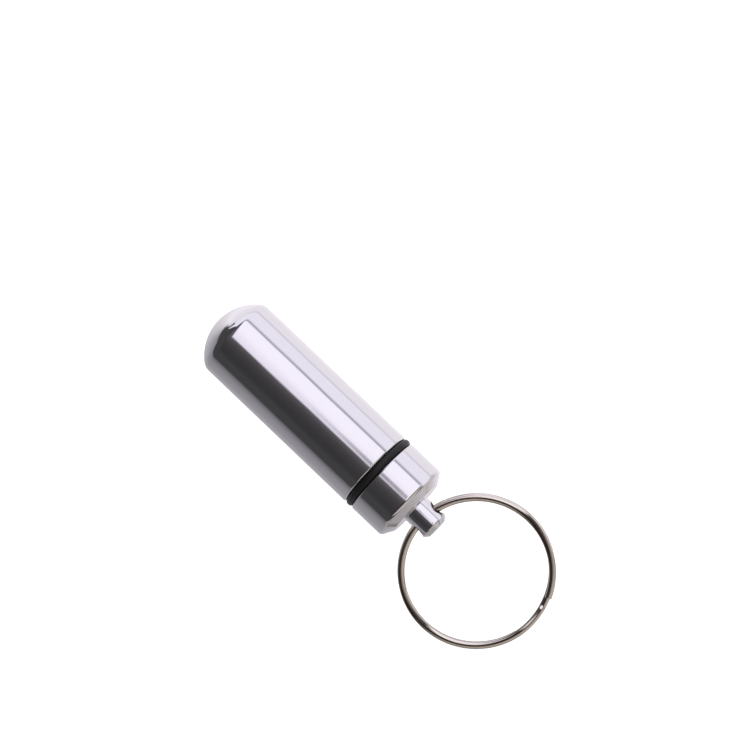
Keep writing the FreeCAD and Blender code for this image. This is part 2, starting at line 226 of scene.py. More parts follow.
# %% Thread form
PITCH = 2 * math.pi / frame["record"]["behaviour"]["couplings"][0]["ratio"]
ROOT_R, MALE_R = 5.4 * MM, 6.0 * MM
BORE_R, FEMALE_R = 5.5 * MM, 6.1 * MM
RIDGE_CREST, RIDGE_FOOT = 0.10, 0.79
GROOVE_ROOT, GROOVE_MOUTH = 0.22, 0.92


def off_groove(x, angle):
    """Distance along the axis from the middle of the nearest groove, in pitches from -1/2 to 1/2:
    x / pitch - angle / (2 pi), less its nearest whole number."""
    turns = x / PITCH - angle / (2 * math.pi)
    return turns - np.round(turns)


def thread_radius(x, angle, low, high, narrow, wide):
    """Radius of a V thread with flats: high where the point is within narrow / 2 of the groove's middle,
    low beyond wide / 2, and straight between."""
    off = np.abs(off_groove(x, angle))
    return low + (high - low) * np.clip((wide / 2 - off) / ((wide - narrow) / 2), 0, 1)


print(f"pitch {PITCH / MM:.3f} mm, ridge {(MALE_R - ROOT_R) / MM:.2f} mm high")

# %% Fine rows for the thread
STEPS_PER_PITCH = 22
THREAD_STEP = PITCH / STEPS_PER_PITCH


def resampled(profile, step):
    """The same profile with its runs divided evenly, so that no run is longer than step."""
    runs = np.diff(profile, axis=0)
    counts = np.maximum(np.ceil(np.hypot(*runs.T) / step), 1).astype(int)
    start = np.repeat(np.arange(len(runs)), counts)
    share = (np.arange(counts.sum()) - np.repeat(np.cumsum(counts) - counts, counts)) / counts[start]
    return np.vstack([profile[start] + runs[start] * share[:, None], profile[-1:]])


print(f"rows of a thread lie {THREAD_STEP / MM:.3f} mm apart at most")

# %% [markdown]
# ## Pill tube
#
# The tube is turned from one bar. Its closed end is a shallow dome with a round shoulder. A flattened
# sphere would come near it, but a mirror shows every change of curve, so dome and shoulder are two true
# arcs that share a tangent. They can then be written down with one angle that goes from the tip to the
# barrel.

# %% The domed end
DOME_ROWS, SHOULDER_ROWS = 28, 20
DOME_HEIGHT, SHOULDER_ROUND = 3.79 * MM, 2.12 * MM


def domed_end():
    """Profile of the dome and its shoulder. With t the angle between normal and axis, the dome is
    (R (1 - cos t), R sin t) up to sin t = (barrel radius - s) / (R - s), and the shoulder of radius s is
    (c - s cos t, barrel radius - s + s sin t) from there to a right angle."""
    big = (BARREL_R**2 + DOME_HEIGHT**2) / (2 * DOME_HEIGHT)
    small, inner = SHOULDER_ROUND, BARREL_R - SHOULDER_ROUND
    meet = math.asin(inner / (big - small))
    middle = big - (big - small) * math.cos(meet)
    dome_t = np.linspace(0, meet, DOME_ROWS)[:-1, None]
    round_t = np.linspace(meet, math.pi / 2, SHOULDER_ROWS)[:, None]
    dome = np.hstack([big * (1 - np.cos(dome_t)), big * np.sin(dome_t)])
    shoulder = np.hstack([middle - small * np.cos(round_t), inner + small * np.sin(round_t)])
    return np.vstack([dome, shoulder]) + (DOME_TIP, 0)


end_profile = domed_end()
print(f"domed end {(end_profile[-1, 0] - DOME_TIP) / MM:.2f} mm long in {len(end_profile)} rows")

# %% [markdown]
# ### Mouth and bore
#
# The mouth has a narrow bevel. The tube is drilled from there with a 118 degree point, relieved by a
# groove where the thread runs out, and threaded. A closed fob hides all this, and the bore could be left
# out, but the cap comes off. So the profile goes on over the mouth and down to the drill's point, and
# where the thread is cut its rows are divided finely.

# %% Outside and mouth
BEVEL, EDGE, MOUTH_EDGE = 0.2 * MM, 0.025 * MM, 0.3 * MM
THREAD_ROOM = 0.1 * MM
LEAD_R = FEMALE_R + THREAD_ROOM
LEAD = LEAD_R - BORE_R
MOUTH_ROW = 2 * CORNER_ROWS - 1

barrel = rounded([
    (end_profile[-1, 0] + GUARD, BARREL_R, 0),
    (MOUTH - BEVEL, BARREL_R, MOUTH_EDGE),
    (MOUTH, BARREL_R - BEVEL, EDGE),
    (MOUTH, LEAD_R, EDGE),
    (MOUTH - LEAD, BORE_R, EDGE),
])
outside = np.vstack([end_profile, barrel[:MOUTH_ROW + 1]])
print(f"outside of the tube in {len(outside)} rows")

# %% Thread and bore
FEMALE_LENGTH, RELIEF_LENGTH, BOTTOM = 7.0 * MM, 1.5 * MM, 2.35 * MM
FEMALE_END = MOUTH - FEMALE_LENGTH
RELIEF_END = FEMALE_END - LEAD - RELIEF_LENGTH
BORE_END = DOME_TIP + BOTTOM
DRILL_POINT = math.radians(118)
DRILL_RISE = 1 / math.tan(DRILL_POINT / 2)

threaded = rounded([
    (MOUTH - LEAD - EDGE, BORE_R, 0),
    (FEMALE_END, BORE_R, EDGE),
    (FEMALE_END - LEAD, LEAD_R, EDGE),
    (RELIEF_END + LEAD, LEAD_R, 0),
])
mouth_to_relief = resampled(np.vstack([barrel[MOUTH_ROW:-1], threaded[1:]]), THREAD_STEP)
bore = rounded([
    tuple(mouth_to_relief[-1]) + (0,),
    (RELIEF_END, LEAD_R, EDGE),
    (RELIEF_END - LEAD, BORE_R, EDGE),
    (BORE_END + BORE_R * DRILL_RISE, BORE_R, EDGE),
    (BORE_END, 0, 0),
])
print(f"thread in {len(mouth_to_relief)} rows, bore {(MOUTH - BORE_END) / MM:.1f} mm deep")

# %% Pill tube
TUBE_COLUMNS = 240

tube_angles = columns(TUBE_COLUMNS)
thread_x, thread_r = mouth_to_relief[:, :1], mouth_to_relief[:, 1:]
grooves = thread_radius(thread_x, tube_angles, BORE_R, FEMALE_R, GROOVE_ROOT, GROOVE_MOUTH)
pill_tube = piece("pill_tube", "tube", [
    (turned(outside, TUBE_COLUMNS), POLISHED),
    (around(thread_x, np.maximum(thread_r, grooves), tube_angles), MACHINED),
    (turned(bore, TUBE_COLUMNS), MACHINED),
])

# %% [markdown]
# ## Screw cap
#
# The cap is a second turned piece: a hollow threaded spigot, a plain neck for the seal, a shoulder, a
# short cylinder with a wide bevel, and a stub with a cross hole for the ring. One long profile could do
# for most of it, but the finishes and the hole divide it, so it is a chain of grids, each of which starts
# on the row where the one before it ends.

# %% Hollow and spigot
CAP_COLUMNS = 192
HOLLOW_R, HOLLOW_DEPTH = 4.0 * MM, 8.6 * MM
NECK_LENGTH, SEAL_PLAY = 2.0 * MM, 0.03 * MM
HOLLOW_END = SPIGOT_END + HOLLOW_DEPTH
NECK_R, NECK_END = ROOT_R - SEAL_PLAY, SHOULDER - NECK_LENGTH
RIM_MIDDLE, NECK_MIDDLE = (HOLLOW_R + NECK_R) / 2, (NECK_END + SHOULDER) / 2

hollow = rounded([
    (HOLLOW_END + HOLLOW_R * DRILL_RISE, 0, 0),
    (HOLLOW_END, HOLLOW_R, EDGE),
    (SPIGOT_END, HOLLOW_R, EDGE),
    (SPIGOT_END, RIM_MIDDLE, 0),
])
spigot = resampled(rounded([
    (SPIGOT_END, RIM_MIDDLE, 0),
    (SPIGOT_END, NECK_R, EDGE),
    (SPIGOT_END + MALE_R - NECK_R, MALE_R, EDGE),
    (NECK_END - MALE_R + NECK_R, MALE_R, EDGE),
    (NECK_END, NECK_R, EDGE),
    (NECK_MIDDLE, NECK_R, 0),
]), THREAD_STEP)
cap_angles = columns(CAP_COLUMNS)
spigot_x, spigot_r = spigot[:, :1], spigot[:, 1:]
ridges = thread_radius(spigot_x, cap_angles, ROOT_R, MALE_R, RIDGE_CREST, RIDGE_FOOT)
print(f"hollow in {len(hollow)} rows, spigot in {len(spigot)}")

# %% [markdown]
# ### Shoulder, bevel and stub
#
# Above the seal the cap is as wide as the barrel. Its wide bevel and its flat end were left as the lathe
# cut them, but the mop has rounded the bevel's edges well, and the stub grows out of the flat end with a
# small fillet. A Bevel modifier would round all edges alike, so every corner of the profile has a
# rounding of its own.

# %% Head and tip
STUB_LENGTH, STUB_R = 4.82 * MM, 2.5 * MM
WIDE_BEVEL, WIDE_BEVEL_DEPTH = 1.14 * MM, 1.95 * MM
TIP_BEVEL, TIP_BEVEL_DEPTH = 0.65 * MM, 0.75 * MM
BASE_EDGE, FULL_EDGE, TIP_EDGE = 0.2 * MM, 0.8 * MM, 0.35 * MM
PATCH_FOOT, PATCH_HEAD = 0.45 * MM, 0.85 * MM
CAP_END = STUB_TIP - STUB_LENGTH
PATCH_START, PATCH_END = CAP_END + PATCH_FOOT, STUB_TIP - PATCH_HEAD
BEVEL_ROW, BASE_ROW = 4 * CORNER_ROWS, 5 * CORNER_ROWS + 1

head = rounded([
    (NECK_MIDDLE, NECK_R, 0),
    (SHOULDER, NECK_R, EDGE),
    (SHOULDER, BARREL_R - BEVEL, EDGE),
    (SHOULDER + BEVEL, BARREL_R, MOUTH_EDGE),
    (CAP_END - WIDE_BEVEL, BARREL_R, FULL_EDGE),
    (CAP_END, BARREL_R - WIDE_BEVEL_DEPTH, TIP_EDGE),
    (CAP_END, STUB_R, BASE_EDGE),
    (PATCH_START, STUB_R, 0),
])
tip = rounded([
    (PATCH_END, STUB_R, 0),
    (STUB_TIP - TIP_BEVEL, STUB_R, TIP_EDGE),
    (STUB_TIP, STUB_R - TIP_BEVEL_DEPTH, TIP_EDGE),
    (STUB_TIP, 0, 0),
])
print(f"head in {len(head)} rows, lathed from row {BEVEL_ROW} to {BASE_ROW}, tip in {len(tip)}")

# %% [markdown]
# ### The cross hole
#
# The ring runs through a hole across the stub, whose mouths are rounded so that the wire doesn't catch. A
# Boolean modifier could cut it, but it leaves a sharp rim and long thin faces, which spoil a mirror. So
# each half of the stub's side is a patch: its inner border runs round a hole mouth, its outer border
# round the half cylinder, and straight lines join the two. The wall of the hole takes over the same
# columns.

# %% Columns round the hole
SIDE_STEPS = 16

half_turn = np.linspace(-math.pi / 2, math.pi / 2, CAP_COLUMNS // 2 + 1)[:-1]
patch_side = np.linspace(PATCH_START, PATCH_END, SIDE_STEPS + 1)[:-1]
start, end = np.full(len(half_turn), PATCH_START), np.full(len(half_turn), PATCH_END)
quarter = np.full(SIDE_STEPS, math.pi / 2)
border_turn = np.concatenate([half_turn, quarter, -half_turn, -quarter])
border_x = np.concatenate([start, patch_side, end, PATCH_START + PATCH_END - patch_side])
bearing = np.arctan2(border_turn * STUB_R, border_x - HOLE_X)
print(f"{len(bearing)} columns round the hole")

# %% The stub's sides
HOLE_R, HOLE_ROUND = 1.35 * MM, 0.2 * MM
PATCH_ROWS, ROW_CROWDING = 10, 1.5


def stub_patch(base):
    """Half of the stub's side about a hole mouth. Round the hole, at a bearing b, the surface starts at
    x = hole x + r cos b and turn = asin(r sin b / stub radius). It goes straight from there to the border,
    by shares that are raised to a power, so that its rows crowd towards the hole."""
    r = HOLE_R + HOLE_ROUND
    rim_turn = np.arcsin(r * np.sin(bearing) / STUB_R)
    rim_x = HOLE_X + r * np.cos(bearing)
    share = np.linspace(0, 1, PATCH_ROWS + 1)[:, None] ** ROW_CROWDING
    turn = rim_turn + share * (border_turn - rim_turn)
    return around(rim_x + share * (border_x - rim_x), STUB_R, base + turn)


sides = [stub_patch(HOLE_ANGLE), stub_patch(HOLE_ANGLE + math.pi)]
print("each side of the stub is a grid of shape", sides[0].shape)

# %% The wall of the hole
MOUTH_STEPS, WALL_STEPS = 8, 8


def hole_wall():
    """The cross hole from mouth to mouth. A mouth is a quarter arc: at arc angle a the radius is
    r = hole radius + round (1 - sin a), and the depth below the stub's side is round (1 - cos a). The
    height along the hole is then sqrt(stub radius^2 - (r sin b)^2) less that depth."""
    arc = np.linspace(0, math.pi / 2, MOUTH_STEPS + 1)[:, None]
    r = HOLE_R + HOLE_ROUND * (1 - np.sin(arc))
    across = r * np.sin(bearing)
    height = np.sqrt(STUB_R**2 - across**2) - HOLE_ROUND * (1 - np.cos(arc))
    share = np.linspace(1, -1, WALL_STEPS + 1)[1:-1, None]
    across = np.vstack([across, np.repeat(across[-1:], WALL_STEPS - 1, 0), across[::-1]])
    height = np.vstack([height, share * height[-1:], -height[::-1]])
    along = np.vstack([r, np.full((WALL_STEPS - 1, 1), HOLE_R), r[::-1]]) * np.cos(bearing)
    y = AXIS_Y + height * math.cos(HOLE_ANGLE) - across * math.sin(HOLE_ANGLE)
    z = AXIS_Z + height * math.sin(HOLE_ANGLE) + across * math.cos(HOLE_ANGLE)
    return np.stack([HOLE_X + along, y, z], axis=-1)


wall_grid = hole_wall()
print(f"hole {2 * HOLE_R / MM:.2f} mm across, a grid of shape", wall_grid.shape)

# %% Screw cap
screw_cap = piece("screw_cap", "cap", [
    (turned(hollow, CAP_COLUMNS), MACHINED),
    (around(spigot_x, np.minimum(spigot_r, ridges), cap_angles), MACHINED),
    (turned(head[:BEVEL_ROW + 1], CAP_COLUMNS), POLISHED),
    (turned(head[BEVEL_ROW:BASE_ROW + 1], CAP_COLUMNS), LATHED),
    (turned(head[BASE_ROW:], CAP_COLUMNS), POLISHED),
    (sides[0], POLISHED),
    (sides[1], POLISHED),
    (wall_grid, DRILLED),
    (turned(tip, CAP_COLUMNS), POLISHED),
])

# %% [markdown]
# ## Seal ring
#
# A black rubber ring sits on the neck and is squeezed between shoulder and mouth. A torus would be the
# quick way to make it, but squeezed rubber is fuller than a circle, so its section is a superellipse, and
# it stands a hair proud of the barrel.

# %% Seal ring
SEAL_COLUMNS, SEAL_POINTS = 192, 36
SEAL_PROUD, SEAL_FULLNESS = 0.05 * MM, 2.5


def superellipse(count, half_width, half_height, power):
    """Closed curve |u / half width|^power + |v / half height|^power = 1, by its angle t:
    u = half width sign(cos t) |cos t|^(2 / power), v likewise with sin t."""
    t = 2 * math.pi * np.arange(count) / count
    u = half_width * np.sign(np.cos(t)) * np.abs(np.cos(t)) ** (2 / power)
    v = half_height * np.sign(np.sin(t)) * np.abs(np.sin(t)) ** (2 / power)
    return u, v


seal_inner, seal_outer = NECK_R + SEAL_PLAY, BARREL_R + SEAL_PROUD
seal_half = (seal_high[0] - seal_low[0]) / 2
seal_u, seal_v = superellipse(SEAL_POINTS, seal_half, (seal_outer - seal_inner) / 2, SEAL_FULLNESS)
seal_x = (seal_low[0] + seal_high[0]) / 2 + seal_u
seal_r = (seal_inner + seal_outer) / 2 + seal_v
seal_ring = piece("seal_ring", "seal", [
    (around(seal_x[:, None], seal_r[:, None], columns(SEAL_COLUMNS)), PLAIN),
], wrap_rows=True)

# %% [markdown]
# ## Split ring
#
# The key ring is one length of spring wire, rolled flat-sided, coiled into two turns that lie on each
# other and plated with nickel. Near the ring's far side the wire crosses from the upper turn to the lower
# one: it sinks slowly and drops the last bit. The wire's two ends lie just before and just after that
# stretch. Two closed rings would be easier to make, but the ends that a thumbnail opens would be missing.
# So the wire's section is carried along one path. A ring that has been opened a few times never closes
# perfectly: its turns lean to different sides, its upper end stands out a little, and its wire is
# slightly twisted, which moves the light lines along it.

# %% The ring's own axes
ring_centre = np.array(mounts["key_ring_loop"]["pos_m"])
ring_up = unit(np.array(mounts["key_ring_loop"]["axis"]))
ring_far = ring_centre - np.array(joints["ring_swing"]["pos_m"])
ring_far = unit(ring_far - ring_up * (ring_far @ ring_up))
ring_side = np.cross(ring_up, ring_far)
print(f"the ring tilts {math.degrees(math.acos(ring_up[2])):.1f} degrees from the table")

# %% Path of the wire
FULL_TURN = 360
RING_R, WIRE_WIDTH, WIRE_THICK, HAIRLINE = 12.11 * MM, 1.15 * MM, 0.74 * MM, 0.05 * MM
UPPER_END, LOWER_END = 28, -8.5
CROSSING, CROSSING_SPAN, CROSSING_SHARE, CROSSING_EASE = -6.5, 31, 0.75, 0.85
DROP, DROP_SPAN = 18.2, 3
SPRUNG, SPRUNG_SPAN, SPREAD = 0.2 * MM, 60, 0.11 * MM
UPPER_LEAN, UPPER_AT, LOWER_LEAN, LOWER_AT = 0.214 * MM, 146, 0.26 * MM, 133


def sprung(angle):
    """What is left of the upper end's spring: exp(-(angle past that end) / its span)."""
    return np.exp((UPPER_END - angle) / SPRUNG_SPAN)


def stepped(angle, start, span, ease=1.0):
    """A smooth step from 0 to 1 over a span of the second turn: s^2 (3 - 2 s), where s is the share of the
    span that lies behind the angle, raised to the power ease."""
    s = np.clip((angle - FULL_TURN - start) / span, 0, 1) ** ease
    return s * s * (3 - 2 * s)


def wire_path(angle):
    """Radius and level of the wire's middle at an angle in degrees, counted on over both turns. The level
    falls by the crossing's share in one smooth step and by the rest in the drop. A turn that leans to one
    side has its radius changed by lean cos(angle - lean's angle). The upper end stands out by what is left
    of its spring, and past the drop the lower turn widens by spread (1 - exp(-angle past it / span))."""
    fallen = CROSSING_SHARE * stepped(angle, CROSSING, CROSSING_SPAN, CROSSING_EASE)
    fallen += (1 - CROSSING_SHARE) * stepped(angle, DROP, DROP_SPAN)
    level = (WIRE_THICK + HAIRLINE) / 2 * (1 - 2 * fallen)
    upper = UPPER_LEAN * np.cos(np.radians(angle - UPPER_AT)) + SPRUNG * sprung(angle)
    past = np.maximum(angle - FULL_TURN - DROP, 0)
    lower = LOWER_LEAN * np.cos(np.radians(angle - LOWER_AT)) + SPREAD * (1 - np.exp(-past / SPRUNG_SPAN))
    return RING_R + upper + (lower - upper) * fallen, level


wire_turn = 2 * FULL_TURN + LOWER_END - UPPER_END
print(f"wire bent through {wire_turn} degrees, {2 * RING_R / MM:.2f} mm across its middle")

# %% Split ring
SECTION_POINTS, WIRE_FULLNESS = 32, 2.3
TWIST, TWIST_AT, SPRUNG_ROLL = math.radians(10), -145, math.radians(6.5)
PATH_STEPS, END_ROWS, END_ROUND = 1400, 7, 0.16 * MM


def wire_surface():
    """The section carried along the path. It is twisted by twist ((1 + cos(angle - twist's angle)) / 2)^2,
    less the roll of the sprung upper end. Each end is rounded off: over its last stretch the section
    shrinks by sqrt(1 - e^2), as e goes from 0 to 1."""
    end = np.linspace(0, 1, END_ROWS + 1)
    end_turn = np.degrees(END_ROUND / RING_R) * (1 - end)
    middle = np.linspace(UPPER_END, 2 * FULL_TURN + LOWER_END, PATH_STEPS)
    first, last = UPPER_END + end_turn[::-1], middle[-1] - end_turn
    angle = np.concatenate([first, middle[(middle > first[-1]) & (middle < last[0])], last])
    shrink = np.ones((len(angle), 1))
    shrink[:END_ROWS + 1, 0] = np.sqrt(1 - end[::-1] ** 2)
    shrink[-END_ROWS - 1:, 0] = np.sqrt(1 - end**2)
    radius, level = wire_path(angle[:, None])
    flat_u, flat_v = superellipse(SECTION_POINTS, WIRE_WIDTH / 2, WIRE_THICK / 2, WIRE_FULLNESS)
    twist = TWIST * ((1 + np.cos(np.radians(angle[:, None] - TWIST_AT))) / 2) ** 2
    twist -= SPRUNG_ROLL * sprung(angle[:, None])
    r = radius + shrink * (flat_u * np.cos(twist) - flat_v * np.sin(twist))
    h = level + shrink * (flat_u * np.sin(twist) + flat_v * np.cos(twist))
    turn = np.radians(angle)[:, None, None]
    out = ring_far * np.cos(turn) + ring_side * np.sin(turn)
    return ring_centre + out * r[..., None] + ring_up * h[..., None]


split_ring = piece("split_ring", "ring", [(wire_surface(), PLAIN)])

# %% [markdown]
# ## Polished aluminium
#
# Polished aluminium is a mirror with a history: keys and coins leave short scratches, fingers leave
# patches that are a little duller, the polishing mop leaves faint lines round the barrel, and polish by
# hand is never quite even. A painted picture could show this, but it would have to be wrapped round each
# piece. So all of it comes from noise on the piece's own coordinates, which stays in place when the fob
# moves.

# %% A plain mirror
ALUMINIUM = (0.91, 0.905, 0.92)


def finish(name, color, metallic, roughness):
    """A new material with a plain principled shader, and its node tree."""
    material = bpy.data.materials.new(name)
    material.use_nodes = True
    shader = material.node_tree.nodes["Principled BSDF"]
    shader.inputs["Base Color"].default_value = (*color, 1)
    shader.inputs["Metallic"].default_value = metallic
    shader.inputs["Roughness"].default_value = roughness
    return material, material.node_tree, shader


polished, tree, shader = finish("polished aluminium", ALUMINIUM, metallic=1.0, roughness=0.08)
print("made", polished.name)

# %% Noise on the piece


def noise(tree, waves, detail, distortion=0.0):
    """Noise on object coordinates, in waves per metre: one number, or one each for x, y and z."""
    place = tree.nodes.new("ShaderNodeTexCoord")
    stretch = tree.nodes.new("ShaderNodeMapping")
    stretch.inputs["Scale"].default_value = np.broadcast_to(waves, 3)
    texture = tree.nodes.new("ShaderNodeTexNoise")
    texture.inputs["Scale"].default_value = 1
    texture.inputs["Detail"].default_value = detail
    texture.inputs["Distortion"].default_value = distortion
    tree.links.new(place.outputs["Object"], stretch.inputs["Vector"])
    tree.links.new(stretch.outputs["Vector"], texture.inputs["Vector"])
    return texture.outputs["Fac"]


fingers = noise(tree, 170, detail=3)
marks = noise(tree, (900, 2600, 2600), detail=6, distortion=1.2)
print("noise for finger marks and for scratches")

# %% Dull patches and scratches


def ranged(tree, value, low, high, to_low, to_high):
    """A value carried from one range to another, and held at the ends."""
    node = tree.nodes.new("ShaderNodeMapRange")
    for name, number in zip(("From Min", "From Max", "To Min", "To Max"), (low, high, to_low, to_high)):
        node.inputs[name].default_value = number
    tree.links.new(value, node.inputs["Value"])
    return node.outputs["Result"]


def combined(tree, operation, first, second):
    """Two values put together by a math node."""
    node = tree.nodes.new("ShaderNodeMath")
    node.operation = operation
    tree.links.new(first, node.inputs[0])
    tree.links.new(second, node.inputs[1])
    return node.outputs["Value"]


patches = ranged(tree, fingers, low=0.35, high=0.7, to_low=0.06, to_high=0.11)
scratches = ranged(tree, marks, low=0.68, high=0.74, to_low=0.0, to_high=0.12)
tree.links.new(combined(tree, "ADD", patches, scratches), shader.inputs["Roughness"])
print("roughness of", polished.name, "from patches and scratches")

# %% Mop lines and an uneven polish


def bumped(tree, shader, height, strength, depth):
    """Relief on the surface, at most depth high, on top of any relief that it has already."""
    node = tree.nodes.new("ShaderNodeBump")
    for link in shader.inputs["Normal"].links:
        tree.links.new(link.from_socket, node.inputs["Normal"])
    node.inputs["Strength"].default_value = strength
    node.inputs["Distance"].default_value = depth
    tree.links.new(height, node.inputs["Height"])
    tree.links.new(node.outputs["Normal"], shader.inputs["Normal"])


bumped(tree, shader, noise(tree, (7000, 30, 30), detail=2), strength=0.05, depth=0.02 * MM)
bumped(tree, shader, noise(tree, (110, 160, 160), detail=1), strength=1.0, depth=0.03 * MM)
print("relief of", polished.name, "from mop lines and uneven polish")

# %% [markdown]
# ## Cut aluminium
#
# Where no mop has been, aluminium keeps the marks of its tool. The thread and the bores are dull and have
# tool lines close together. The cap's bevel and flat end are brighter, with the finest of lines. The
# cross hole is rough where the drill tore the metal, and its wall has a dark base colour. Each could be
# the polished finish with a higher roughness, but the lines are what tells them apart, so each has a noise
# of its own for its relief.

# %% Machined, lathed and drilled aluminium
MOST_NOISE = (0.3, 0.7)


def uneven(tree, shader, cloud, smooth, rough, span=MOST_NOISE):
    """Roughness that wanders with a noise: smooth at the low end of its span, rough at the high end."""
    tree.links.new(ranged(tree, cloud, *span, smooth, rough), shader.inputs["Roughness"])


machined, tree, shader = finish("machined aluminium", (0.83, 0.83, 0.84), metallic=1.0, roughness=0.3)
uneven(tree, shader, noise(tree, 400, detail=4), smooth=0.24, rough=0.42)
bumped(tree, shader, noise(tree, (5200, 40, 40), detail=3), strength=0.35, depth=0.03 * MM)

lathed, tree, shader = finish("lathed aluminium", ALUMINIUM, metallic=1.0, roughness=0.2)
uneven(tree, shader, noise(tree, 300, detail=3), smooth=0.17, rough=0.24, span=(0.35, 0.7))
bumped(tree, shader, noise(tree, (9000, 20, 20), detail=3), strength=0.12, depth=0.02 * MM)

# the cross hole's wall gets a dark base colour, far darker than the other aluminium
drilled, tree, shader = finish("drilled aluminium", (0.30, 0.29, 0.28), metallic=1.0, roughness=0.35)
uneven(tree, shader, noise(tree, 900, detail=4), smooth=0.28, rough=0.46)
bumped(tree, shader, noise(tree, 1500, detail=3), strength=0.25, depth=0.03 * MM)
print("made", machined.name, lathed.name, drilled.name)

# %% Aluminium on tube and cap
for shown, others in (pill_tube, [machined]), (screw_cap, [machined, lathed, drilled]):
    for material in [polished] + others:
        shown.data.materials.append(material)
    print(shown.name, "has", len(shown.data.materials), "finishes")

# %% [markdown]
# ## Black rubber
#
# The seal is moulded rubber, nearly black, and a little greasy so that it slides. Plain black without any
# gloss would look like a gap, so it keeps a weak, broad shine, broken by the fine grain of the mould.

# %% Black rubber
SHINE = 0.36

rubber, tree, shader = finish("black rubber", (0.009, 0.009, 0.0095), metallic=0.0, roughness=0.4)
uneven(tree, shader, noise(tree, 1500, detail=4), smooth=0.30, rough=0.50)
bumped(tree, shader, noise(tree, 6000, detail=3), strength=0.25, depth=0.02 * MM)
shader.inputs["Specular IOR Level"].default_value = SHINE
seal_ring.data.materials.append(rubber)
print(rubber.name, "on", seal_ring.name)

# %% [markdown]
# ## Nickel plate
#
# The wire is steel with a thin coat of nickel, which is warmer than aluminium and follows the drawn
# wire's faint unevenness. Chrome would be the ready choice for shiny wire, but it is bluer. So the base
# colour is a warm grey, and the mirror is broken a little by noise.

# %% Nickel plate
nickel, tree, shader = finish("plated nickel", (0.85, 0.79, 0.73), metallic=1.0, roughness=0.11)
uneven(tree, shader, noise(tree, 500, detail=4, distortion=0.6), smooth=0.07, rough=0.15)
bumped(tree, shader, noise(tree, 2500, detail=4), strength=0.12, depth=0.02 * MM)
split_ring.data.materials.append(nickel)
print(nickel.name, "on", split_ring.name)

# %% [markdown]
# ## Table
#
# The fob lies on white paper. One diffuse surface would do, but to look white it would need more light
# than the metal can take. So the camera sees the paper with some glow of its own added, which leaves only
# a soft shadow, while the light that falls on the fob stays as it is.

# %% A flat sheet
FLOOR_HALF = 2.5


def flat(name, corners):
    """One flat four-sided face of the studio, from its corners."""
    mesh = bpy.data.meshes.new(name)
    mesh.from_pydata(np.array(corners, float).tolist(), [], [(0, 1, 2, 3)])
    shown = bpy.data.objects.new(name, mesh)
    bpy.context.scene.collection.objects.link(shown)
    material = bpy.data.materials.new(name)
    material.use_nodes = True
    material.node_tree.nodes.remove(material.node_tree.nodes["Principled BSDF"])
    mesh.materials.append(material)
    return shown, material.node_tree


floor, tree = flat("table", np.array([[-1, -1, 0], [1, -1, 0], [1, 1, 0], [-1, 1, 0]]) * FLOOR_HALF)
print(floor.name, 2 * FLOOR_HALF, "m square")

# %% Table as the camera sees it
WHITE, PAPER = (1, 1, 1, 1), (0.86, 0.86, 0.86, 1)
LIFT = 0.72


def shader_node(tree, kind, **inputs):
    """A shader node with constant inputs."""
    node = tree.nodes.new(kind)
    for name, value in inputs.items():
        node.inputs[name].default_value = value
    return node


def mixed(tree, share, first, second):
    """The first shader where share is 0, the second where it is 1."""
    node = tree.nodes.new("ShaderNodeMixShader")
    tree.links.new(share, node.inputs["Fac"])
    tree.links.new(first.outputs[0], node.inputs[1])
    tree.links.new(second.outputs[0], node.inputs[2])
    return node


rays = tree.nodes.new("ShaderNodeLightPath")
matte = shader_node(tree, "ShaderNodeBsdfDiffuse", Color=PAPER)
lift = shader_node(tree, "ShaderNodeEmission", Color=WHITE, Strength=LIFT)
lifted = tree.nodes.new("ShaderNodeAddShader")
tree.links.new(matte.outputs[0], lifted.inputs[0])
tree.links.new(lift.outputs[0], lifted.inputs[1])
seen = mixed(tree, rays.outputs["Is Camera Ray"], matte, lifted)
print("the camera sees the paper lifted by", LIFT)

# %% [markdown]
# ### The table in the mirror
#
# Along both edges of the barrel the metal shows the paper beside it, which is bright on the far side and
# darker on the near side, where it is shaded. The shading could be left to more lamps, but each lamp
# would change the shadow too. So mirrors see a graded glow with the shade painted in: one run across the
# barrel, a dark corner beyond the dome, and a darker, warmer glow by the ring and far away.

# %% Colours along a line


def place_axes(tree):
    """The x, y and z of a point, from object coordinates."""
    place = tree.nodes.new("ShaderNodeTexCoord")
    axes = tree.nodes.new("ShaderNodeSeparateXYZ")
    tree.links.new(place.outputs["Object"], axes.inputs["Vector"])
    return axes.outputs


def graded(tree, value, stops):
    """Colours at stops (value, red, green, blue), blended between."""
    low, high = stops[0][0], stops[-1][0]
    node = tree.nodes.new("ShaderNodeValToRGB")
    tree.links.new(ranged(tree, value, low, high, 0, 1), node.inputs["Fac"])
    elements = node.color_ramp.elements
    while len(elements) < len(stops):
        elements.new(0.5)
    for element, (at, *color) in zip(elements, stops):
        element.position = (at - low) / (high - low)
        element.color = (*color, 1)
    return node.outputs["Color"]


axes = place_axes(tree)
print("colours can run along", [axis.name for axis in axes])

# %% Paper along the barrel
# painted shade of the paper, seen only in mirrors: dark on the near side, bright on the far side
PAPER_SEEN = [
    (-0.300, 0.098, 0.095, 0.103),
    (-0.150, 0.134, 0.129, 0.141),
    (-0.083, 0.181, 0.174, 0.190),
    (-0.045, 0.230, 0.221, 0.242),
    (-0.025, 0.285, 0.272, 0.298),
    (-0.016, 0.310, 0.297, 0.325),
    (-0.009, 0.420, 0.405, 0.435),
    (0.009, 0.940, 0.900, 0.950),
    (0.020, 0.845, 0.805, 0.865),
    (0.075, 0.835, 0.795, 0.855),
    (0.120, 0.700, 0.665, 0.735),
    (0.200, 0.660, 0.630, 0.700),
]


def glow(tree, value, stops):
    """Emission whose colour is graded along a value."""
    node = shader_node(tree, "ShaderNodeEmission", Strength=1.0)
    tree.links.new(graded(tree, value, stops), node.inputs["Color"])
    return node


paper = glow(tree, axes["Y"], PAPER_SEEN)
print(f"paper graded from y {PAPER_SEEN[0][0]} to {PAPER_SEEN[-1][0]} m")

